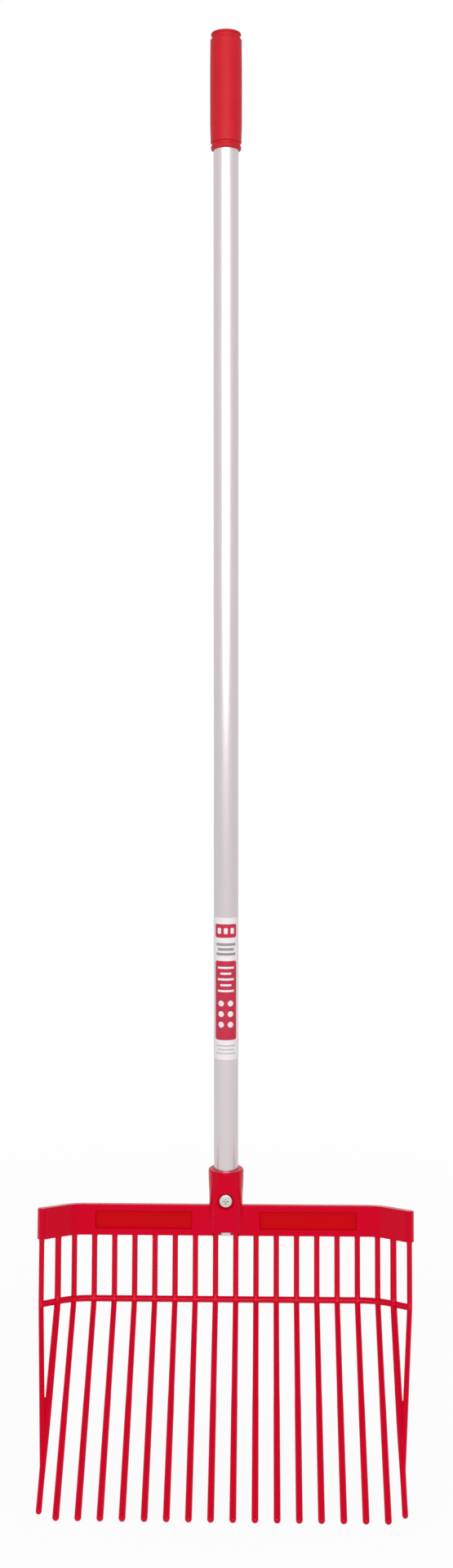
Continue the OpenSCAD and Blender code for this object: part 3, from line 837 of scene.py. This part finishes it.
def rounded_box(name, low, high, corner, material):
    """Cutter for a sunk panel in the head's frame: floor at the first y of the box, mouth at the last one."""
    steps = 6
    out = 1 if high[1] > low[1] else -1
    levels = [
        (PANEL_DRAFT, low[1]), (0, high[1] - out * PANEL_LIP),
        (-PANEL_LIP, high[1]), (-PANEL_LIP, high[1] + out),
    ]
    rings = []
    for inset, y in levels:
        left = low[0] + inset + corner
        right = high[0] - inset - corner
        foot = low[2] + inset + corner
        top = high[2] - inset - corner
        ring = arc(right, foot, corner, -90, 0, steps) + arc(right, top, corner, 0, 90, steps)
        ring += arc(left, top, corner, 90, 180, steps) + arc(left, foot, corner, 180, 270, steps)
        rings.append([(x, y, z) for x, z in ring])
    return loft(name, rings, IN_HEAD, material)


def cut_panels(head):
    """Sunk panels in the bar's front, and pockets between ribs in its back."""
    recess_end = CORNER_X - RECESS_OUT
    recess_foot = (BAR_H - RECESS_H) / 2
    first_pocket = math.ceil(SOCKET_SIDE / TINE_PITCH + 0.5)
    for side in (-1, 1):
        ends = sorted((side * RECESS_START, side * recess_end))
        low = (ends[0], -BAR_FRONT + RECESS_DEPTH, recess_foot)
        high = (ends[1], -BAR_FRONT, recess_foot + RECESS_H)
        # The recess cutter passes its darker red, which is painted shade, to the recess walls and floor
        combine(head, rounded_box("recess", low, high, RECESS_CORNER, PANEL_ABS_PAINTED_SHADE), "DIFFERENCE")
        for i in range(first_pocket, FLOOR_TINES // 2):
            ends = sorted(side * ((i + step) * TINE_PITCH - step * RIB_T) for step in (-0.5, 0.5))
            low = (ends[0], POCKET_FLOOR, POCKET_RIM)
            high = (ends[1], BAR_BACK, BAR_H - POCKET_RIM)
            combine(head, rounded_box("pocket", low, high, POCKET_CORNER, HEAD_ABS), "DIFFERENCE")


def cut_ejector_mark(head):
    """Shallow round mark of an ejector pin on the bar's front, beside the socket."""
    spot = Matrix.Translation((EJECTOR_X, -BAR_FRONT, BAR_H / 2))
    profile = [(EJECTOR_R, -EJECTOR_DEPTH), (EJECTOR_R + 0.2, 1)]
    place = IN_HEAD @ spot @ Matrix.Rotation(math.radians(90), 4, "X")
    combine(head, lathe("mark", profile, place, HEAD_ABS, 48), "DIFFERENCE")


def side_web(side):
    """Thin web in the crotch of a pair of side tines, with a hollow upper edge."""
    inner = Vector((CORNER_X, 0, -TIE_DROP)) + SIDE_WAY * TINE_PITCH
    outer = inner + SIDE_WAY * TINE_PITCH
    join = inner + FLOOR_WAY * SIDE_JOIN
    start_in = inner + FLOOR_WAY * WEB_START
    along = (SIDE_JOIN - WEB_START) / SIDE_JOIN
    start_out = join + (outer - join) * along
    normal = (start_out - join).cross(start_in - join).normalized()
    steps = 8
    outline = []
    for i in range(steps + 1):
        share = i / steps
        sag = 4 * share * (1 - share) * WEB_SAG
        outline.append(start_in.lerp(start_out, share) + FLOOR_WAY * sag)
    outline.append(join)
    rings = []
    for offset in (-WEB_T / 2, WEB_T / 2):
        rings.append([(side * p.x, p.y, p.z) for p in (q + normal * offset for q in outline)])
    return loft("web", rings, IN_HEAD, HEAD_ABS)


def add_tines(head):
    """The row of floor tines, then at each side an inner and an outer tine with the web between them."""
    corner = Vector((0, 0, -TIE_DROP))
    floor = [(0, 0, FLOOR_ROOT), corner, corner + FLOOR_WAY * (FLOOR_LEN + TIP_R)]
    row = rods("floor_tines", floor, count=FLOOR_TINES, step=TINE_STEP * MM, root_flare=ROOT_FLARE * MM,
               flare_start=FLOOR_ROOT * MM)
    combine(head, row, "UNION")
    inner = Vector((CORNER_X, 0, 0)) + SIDE_WAY * TINE_PITCH
    outer = inner + SIDE_WAY * TINE_PITCH
    root = Vector((0, 0, SIDE_ROOT))
    inner_path = [inner + root, inner + corner, inner + corner + FLOOR_WAY * (SIDE_LEN + TIP_R)]
    outer_path = [outer + root, outer + corner, inner + corner + FLOOR_WAY * SIDE_JOIN]
    flare = {"root_flare": ROOT_FLARE * MM, "flare_start": SIDE_ROOT * MM}
    # The inner tine thickens down to the join and is thin below it
    inner_sizes = {"root_radius": INNER_R * MM, "tip_radius": INNER_TIP_R * MM, "step": INNER_STEP * MM,
                   "step_at": INNER_STEP_AT, "step_half": INNER_STEP_HALF}
    outer_sizes = {"root_radius": OUTER_R * MM, "tip_radius": OUTER_R * MM}
    for side in (-1, 1):
        for path, sizes in ((inner_path, inner_sizes), (outer_path, outer_sizes)):
            turned = [(side * p.x, p.y, p.z) for p in path]
            combine(head, rods("side_tine", turned, **sizes, **flare), "UNION")
        combine(head, side_web(side), "UNION")


def add_tie_bar(head):
    """The tie bar runs through the tines where they bend, a little in front of their corner."""
    ahead = (Vector((0, 0, 1)) + FLOOR_WAY).normalized() * TIE_AHEAD
    corner = Vector((CORNER_X, 0, -TIE_DROP)) + ahead
    right = [corner, corner + SIDE_WAY * (2 * TINE_PITCH + TIE_R / 2)]
    left = [(-p.x, p.y, p.z) for p in right[::-1]]
    tie = rods("tie", left + right, bend_radius=TIE_BEND_R * MM, root_radius=TIE_R * MM,
               tip_radius=TIE_R * MM, round_start=1.0, rings=120)
    combine(head, tie, "UNION")


def cut_holes(head):
    """The tube's bore, the bolt head's counterbore with a rounded mouth, and the bolt's hole."""
    mouth = 0.5
    mouth_foot = SOCKET_H - 0.4
    bore = [
        (SOCKET_BORE_R, -5), (SOCKET_BORE_R, mouth_foot),
        (SOCKET_BORE_R + mouth, mouth_foot + mouth), (SOCKET_BORE_R + mouth, SOCKET_H + 3),
    ]
    combine(head, lathe("bore", bore, ON_HANDLE, HEAD_ABS, 128), "DIFFERENCE")
    edge = 0.6
    root = 0.2
    counterbore = [(COUNTERBORE_R - root, BOLT_SEAT), (COUNTERBORE_R, BOLT_SEAT + root)]
    counterbore += arc(COUNTERBORE_R + edge, SOCKET_FRONT - edge, edge, 180, 90, 5)
    counterbore.append((COUNTERBORE_R + edge, SOCKET_FRONT + 1))
    combine(head, lathe("counterbore", counterbore, ON_BOLT, HEAD_ABS, 96), "DIFFERENCE")
    combine(head, bolt_drill(-2 * SOCKET_BACK, 2 * SOCKET_FRONT), "DIFFERENCE")


def make_head():
    """The whole moulding: bar and socket, then tines, tie bar and webs, then everything that is cut out."""
    head = make_bar()
    combine(head, make_socket(), "UNION")
    combine(head, make_arch(), "DIFFERENCE")
    add_tines(head)
    add_tie_bar(head)
    cut_holes(head)
    cut_panels(head)
    cut_ejector_mark(head)
    head.name = "fork_head"
    remove_slivers(head)
    shade(head, 32)
    nodes = [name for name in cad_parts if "tine" in name or "bar" in name or "tie" in name]
    nodes += ["head_socket", "left_side_web", "right_side_web"]
    finish_piece(head, "head_abs", *nodes)


def make_bolt():
    """The bolt, with a low domed head and a cross recess."""
    axis_r = 0.03
    dome = 0.6
    edge = 0.9
    point = 0.6
    shank_r = BOLT_R - 0.05
    foot = BOLT_SEAT - BOLT_LEN
    top = BOLT_SEAT + BOLT_HEAD_H
    profile = [(axis_r, foot), (BOLT_R - point, foot), (shank_r, foot + point), (shank_r, BOLT_SEAT)]
    profile += [(BOLT_HEAD_R - 0.3, BOLT_SEAT), (BOLT_HEAD_R, BOLT_SEAT + 0.25)]
    profile += arc(BOLT_HEAD_R - edge, top - dome - edge, edge, 0, 72, 6)
    crown_r, crown_foot = profile[-1]
    steps = 8
    for i in range(1, steps + 1):
        r = max(crown_r * (1 - i / steps), axis_r)
        profile.append((r, top - (top - crown_foot) * (r / crown_r) ** 2))
    bolt = lathe("cross_head_bolt", profile, ON_BOLT, BOLT_ZINC, 96)
    # One arm of the cross: half width, half length and height, from its narrow floor up past the dome
    rings = []
    for half_w, half_l, z in ((0.35, 1.6, top - 1.7), (0.75, 3.1, top + 0.05), (0.75, 3.1, top + 1)):
        corners = ((-half_l, -half_w), (half_l, -half_w), (half_l, half_w), (-half_l, half_w))
        rings.append([(x, y, z) for x, y in corners])
    for turn in (0, 90):
        place = ON_BOLT @ Matrix.Rotation(math.radians(turn), 4, "Z")
        combine(bolt, loft("drive", rings, place, BOLT_ZINC), "DIFFERENCE")
    shade(bolt, 35)
    finish_piece(bolt, "bolt_zinc", "socket_bolt")


def make_washer():
    """A punched washer: rounder edges on the side where the punch came in."""
    hole = BOLT_R + BOLT_PLAY
    back = NUT_SEAT + WASHER_T
    burr = 0.1
    edge = 0.25
    profile = [
        (hole, NUT_SEAT + burr), (hole + burr, NUT_SEAT), (WASHER_R - edge, NUT_SEAT),
        (WASHER_R, NUT_SEAT + edge), (WASHER_R, back - burr), (WASHER_R - burr, back), (hole, back),
    ]
    washer = lathe("flat_washer", profile, ON_BOLT, BOLT_ZINC, 72, closed=True)
    shade(washer, 35)
    finish_piece(washer, "bolt_zinc", "bolt_washer")


def make_nut():
    """The lock nut, skinned from its collar round the outside and back up its bore, and its nylon ring."""
    segments = 96
    apothem = NUT_FLATS / 2
    full = apothem / math.cos(math.pi / 6)
    collar_r = apothem - 0.4
    ring_r = collar_r - 0.8
    hole = BOLT_R + 0.05
    lip_r = hole + 0.3
    foot = NUT_SEAT - NUT_HEX_H - NUT_COLLAR_H
    flank = foot + NUT_COLLAR_H
    lip_top = foot + 0.4
    # Each ring is the nut's hexagon cut off at a radius, so a small radius gives a circle
    cuts = [
        (collar_r - 0.35, foot), (collar_r, foot + 0.35), (collar_r, flank - 0.3),
        (apothem - 0.05, flank), (full - 0.3, flank + 0.35), (full, flank + 0.7),
        (full, NUT_SEAT - 0.5), (full - 0.35, NUT_SEAT - 0.15), (apothem - 0.1, NUT_SEAT),
        (hole + 0.4, NUT_SEAT), (hole, NUT_SEAT - 0.4), (hole, flank),
        (ring_r, flank), (ring_r, lip_top), (lip_r, lip_top), (lip_r, foot),
    ]
    rings = []
    for radius, z in cuts:
        ring = []
        for i in range(segments):
            turn = 2 * math.pi * i / segments
            off = (turn + math.pi / 6) % (math.pi / 3) - math.pi / 6
            r = min(apothem / math.cos(off), radius)
            ring.append((r * math.cos(turn), r * math.sin(turn), z))
        rings.append(ring)
    nut = loft("lock_nut_hexagon", rings, ON_BOLT, BOLT_ZINC, closed=True)
    shade(nut, 28)
    finish_piece(nut, "bolt_zinc", "lock_nut")
    play = 0.02
    ring_foot = lip_top + 0.05
    profile = [
        (hole, ring_foot), (ring_r - play, ring_foot), (ring_r - play, flank - play), (hole, flank - play),
    ]
    ring = lathe("lock_nut_insert", profile, ON_BOLT, RING_NYLON, 72, closed=True)
    shade(ring, 35)
    finish_piece(ring, "ring_nylon", "lock_nut_ring")


make_tube()
make_grip()
make_label()
make_head()
make_bolt()
make_washer()
make_nut()

# Camera at the photograph's viewpoint: the frame is 555 by 1920 pixels
FRAME_PX = 1920
FOCAL_PX = 2040
SENSOR_MM = 36
CAMERA_AT = Vector((0.0379, -1.6916, TUBE_FOOT + 0.6074))
PITCH_DOWN = 4.7
TURN_LEFT = 1.268


def make_camera():
    """The photograph's camera, with the lens that its focal length in pixels gives."""
    camera = bpy.data.cameras.new("photo_view")
    camera.sensor_width = SENSOR_MM
    camera.lens = FOCAL_PX / FRAME_PX * SENSOR_MM
    obj = bpy.data.objects.new("photo_view", camera)
    obj.location = CAMERA_AT
    obj.rotation_euler = (math.radians(90 - PITCH_DOWN), 0, math.radians(TURN_LEFT))
    bpy.context.scene.collection.objects.link(obj)
    bpy.context.scene.camera = obj


def ray_kinds(tree):
    """Two marks of a ray, each one or zero: seen straight, and seen in gloss, metal or glass."""
    rays = add(tree, "ShaderNodeLightPath").outputs
    mirrored = add(tree, "ShaderNodeMath", {0: rays["Is Glossy Ray"], 1: rays["Is Transmission Ray"]},
                   operation="MAXIMUM").outputs["Value"]
    return rays["Is Camera Ray"], mirrored


def make_floor():
    """A plain white floor under the tips, which keeps a soft shadow."""
    half = 6
    mesh = bpy.data.meshes.new("floor")
    corners = [(-half, -half, 0), (half, -half, 0), (half, half, 0), (-half, half, 0)]
    mesh.from_pydata(corners, [], [(0, 1, 2, 3)])
    material, tree, place = start_material("matt white floor")
    matt = add(tree, "ShaderNodeBsdfDiffuse", {"Color": linear("#F4F4F4")})
    bright = add(tree, "ShaderNodeEmission", {"Color": (1, 1, 1, 1), "Strength": 1.0})
    # Only the floor round the tool shows its shadow; further out it is as white as the background
    away = add(tree, "ShaderNodeVectorMath", {0: place}, operation="LENGTH").outputs["Value"]
    fade = add(tree, "ShaderNodeMapRange", {
        "Value": away, "From Min": 0.4, "From Max": 1.6, "To Min": 0.92, "To Max": 1.0,
    }).outputs["Result"]
    straight, mirrored = ray_kinds(tree)
    mirrored_share = 0.55
    image = add(tree, "ShaderNodeMath", {0: mirrored, 1: mirrored_share}, operation="MULTIPLY")
    white = add(tree, "ShaderNodeMath", {0: straight, 1: fade, 2: image.outputs["Value"]},
                operation="MULTIPLY_ADD")
    mixed = add(tree, "ShaderNodeMixShader", {
        "Fac": white.outputs["Value"], 1: matt.outputs["BSDF"], 2: bright.outputs["Emission"],
    })
    add(tree, "ShaderNodeOutputMaterial", {"Surface": mixed.outputs["Shader"]})
    floor = as_object("floor", mesh, material)
    floor.location.z = CAD_BOX[0][2]


def make_world():
    """White where seen straight. Gloss mirrors a dim ceiling; all else gets more light from above."""
    world = bpy.data.worlds.new("white studio")
    world.use_nodes = True
    tree = world.node_tree
    tree.nodes.clear()
    way = add(tree, "ShaderNodeTexCoord").outputs["Generated"]
    heading = add(tree, "ShaderNodeSeparateXYZ", {"Vector": way}).outputs
    slant = add(tree, "ShaderNodeMath", {0: heading["X"]}, operation="ABSOLUTE").outputs["Value"]
    straight, mirrored = ray_kinds(tree)
    # What gloss and metal mirror, and the fill light on everything else: in front, then to the sides
    levels = []
    for front, sides in ((0.9, 0.83), (0.42, 0.3)):
        level = add(tree, "ShaderNodeMapRange", {
            "Value": slant, "From Min": 0.5, "From Max": 0.9, "To Min": front, "To Max": sides,
        }, interpolation_type="SMOOTHSTEP")
        levels.append(level.outputs["Result"])
    image, fill = levels
    ceiling = add(tree, "ShaderNodeMapRange", {
        "Value": heading["Z"], "From Min": 0.35, "From Max": 0.75, "To Min": 1.0, "To Max": 0.25,
    }).outputs["Result"]
    overhead = add(tree, "ShaderNodeMapRange", {"Value": heading["Z"], "From Min": 0.3, "To Max": 0.45})
    dimmed = add(tree, "ShaderNodeMath", {0: image, 1: ceiling}, operation="MULTIPLY")
    lifted = add(tree, "ShaderNodeMath", {0: fill, 1: overhead.outputs["Result"]}, operation="ADD")
    around = add(tree, "ShaderNodeMix", {
        "Factor": mirrored, "A": lifted.outputs["Value"], "B": dimmed.outputs["Value"],
    })
    strength = add(tree, "ShaderNodeMix", {"Factor": straight, "A": around.outputs["Result"], "B": 1.0})
    light = add(tree, "ShaderNodeBackground", {"Color": (1, 1, 1, 1), "Strength": strength.outputs["Result"]})
    add(tree, "ShaderNodeOutputWorld", {"Surface": light.outputs["Background"]})
    bpy.context.scene.world = world


def make_lamp():
    """A soft box in front of the fork, of an even brightness and facing it squarely."""
    away = 2.6
    rise = 0.27
    width = 2.25
    height = 1.62
    radiance = 3.35
    lamp = bpy.data.lights.new("front_box", "AREA")
    lamp.shape = "RECTANGLE"
    lamp.size = width
    lamp.size_y = height
    lamp.energy = radiance * math.pi * width * height
    obj = bpy.data.objects.new("front_box", lamp)
    obj.location = (0, -away, rise)
    obj.rotation_euler = Vector((0, away, 0)).to_track_quat("-Z", "Y").to_euler()
    bpy.context.scene.collection.objects.link(obj)


make_camera()
make_floor()
make_world()
make_lamp()

bpy.context.scene.view_settings.view_transform = "Standard"
